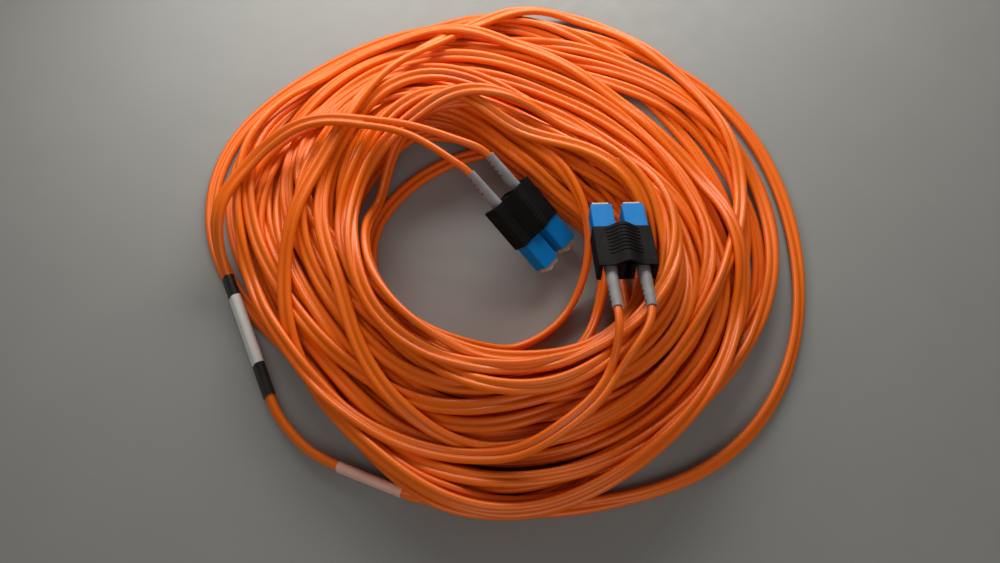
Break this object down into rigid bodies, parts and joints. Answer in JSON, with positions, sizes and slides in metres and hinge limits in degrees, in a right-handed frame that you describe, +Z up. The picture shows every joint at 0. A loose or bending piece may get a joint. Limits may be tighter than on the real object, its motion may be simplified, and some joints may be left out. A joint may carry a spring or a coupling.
{
  "type": "fiber optic patch cord",
  "caption": "Coiled duplex fibre optic patch cord with a push-pull duplex plug pair at each end, a marker sleeve and a wrapped label.",
  "frame": {"origin": "on the floor under the middle of the coil's bounding box", "axes": "+Z up from the floor; +X to the right and +Y away along the floor, as the coil lies in front of a viewer; the coil is widest along X"},
  "size_m": [0.2473, 0.2282, 0.0458],
  "materials": {
    "jacket": "semi-gloss extruded jacket",
    "marker_white": "satin sleeve",
    "shrink_black": "satin shrink tube",
    "label": "dull self-adhesive film",
    "clip": "semi-gloss moulding",
    "housing": "semi-gloss moulding",
    "plug_frame": "satin moulding",
    "ferrule": "polished ceramic",
    "metal": "plated metal",
    "crimp": "plain metal",
    "boot": "satin soft moulding",
    "fibre": "buffered fibre"
  },
  "bodies": {
    "cord": {"coil_loops": "jacket", "lead_a": "jacket", "lead_b": "jacket", "leg_a1": "jacket", "leg_a2": "jacket", "leg_b1": "jacket", "leg_b2": "jacket", "shrink_upper": "shrink_black", "marker_sleeve": "marker_white", "shrink_lower": "shrink_black", "label_wrap": "label", "plug_frame_a1": "plug_frame", "spring_a1": "metal", "stop_ring_a1": "metal", "crimp_sleeve_a1": "crimp", "boot_a1": "boot", "buffered_fibre_a1": "fibre", "plug_frame_a2": "plug_frame", "spring_a2": "metal", "stop_ring_a2": "metal", "crimp_sleeve_a2": "crimp", "boot_a2": "boot", "buffered_fibre_a2": "fibre", "plug_frame_b1": "plug_frame", "spring_b1": "metal", "stop_ring_b1": "metal", "crimp_sleeve_b1": "crimp", "boot_b1": "boot", "buffered_fibre_b1": "fibre", "plug_frame_b2": "plug_frame", "spring_b2": "metal", "stop_ring_b2": "metal", "crimp_sleeve_b2": "crimp", "boot_b2": "boot", "buffered_fibre_b2": "fibre"},
    "shell_a": {"clip_a": "clip", "housing_a1": "housing", "housing_a2": "housing"},
    "shell_b": {"clip_b": "clip", "housing_b1": "housing", "housing_b2": "housing"},
    "ferrule_unit_a1": {"ferrule_a1": "ferrule", "ferrule_flange_a1": "metal"},
    "ferrule_unit_a2": {"ferrule_a2": "ferrule", "ferrule_flange_a2": "metal"},
    "ferrule_unit_b1": {"ferrule_b1": "ferrule", "ferrule_flange_b1": "metal"},
    "ferrule_unit_b2": {"ferrule_b2": "ferrule", "ferrule_flange_b2": "metal"}
  },
  "joints": [
    {"name": "release_slide_a", "type": "slide", "parent": "cord", "child": "shell_a", "axis": [-0.6457, 0.6022, 0.4695], "range_m": [0, 0.0015]},
    {"name": "release_slide_b", "type": "slide", "parent": "cord", "child": "shell_b", "axis": [0.0498, -0.9498, 0.309], "range_m": [0, 0.0015]},
    {"name": "ferrule_push_a1", "type": "slide", "parent": "cord", "child": "ferrule_unit_a1", "axis": [-0.6457, 0.6022, 0.4695], "range_m": [0, 0.001], "stiffness_N_per_m": 2500, "deforming": ["spring_a1"]},
    {"name": "ferrule_push_a2", "type": "slide", "parent": "cord", "child": "ferrule_unit_a2", "axis": [-0.6457, 0.6022, 0.4695], "range_m": [0, 0.001], "stiffness_N_per_m": 2500, "deforming": ["spring_a2"]},
    {"name": "ferrule_push_b1", "type": "slide", "parent": "cord", "child": "ferrule_unit_b1", "axis": [0.0498, -0.9498, 0.309], "range_m": [0, 0.001], "stiffness_N_per_m": 2500, "deforming": ["spring_b1"]},
    {"name": "ferrule_push_b2", "type": "slide", "parent": "cord", "child": "ferrule_unit_b2", "axis": [0.0498, -0.9498, 0.309], "range_m": [0, 0.001], "stiffness_N_per_m": 2500, "deforming": ["spring_b2"]}
  ]
}
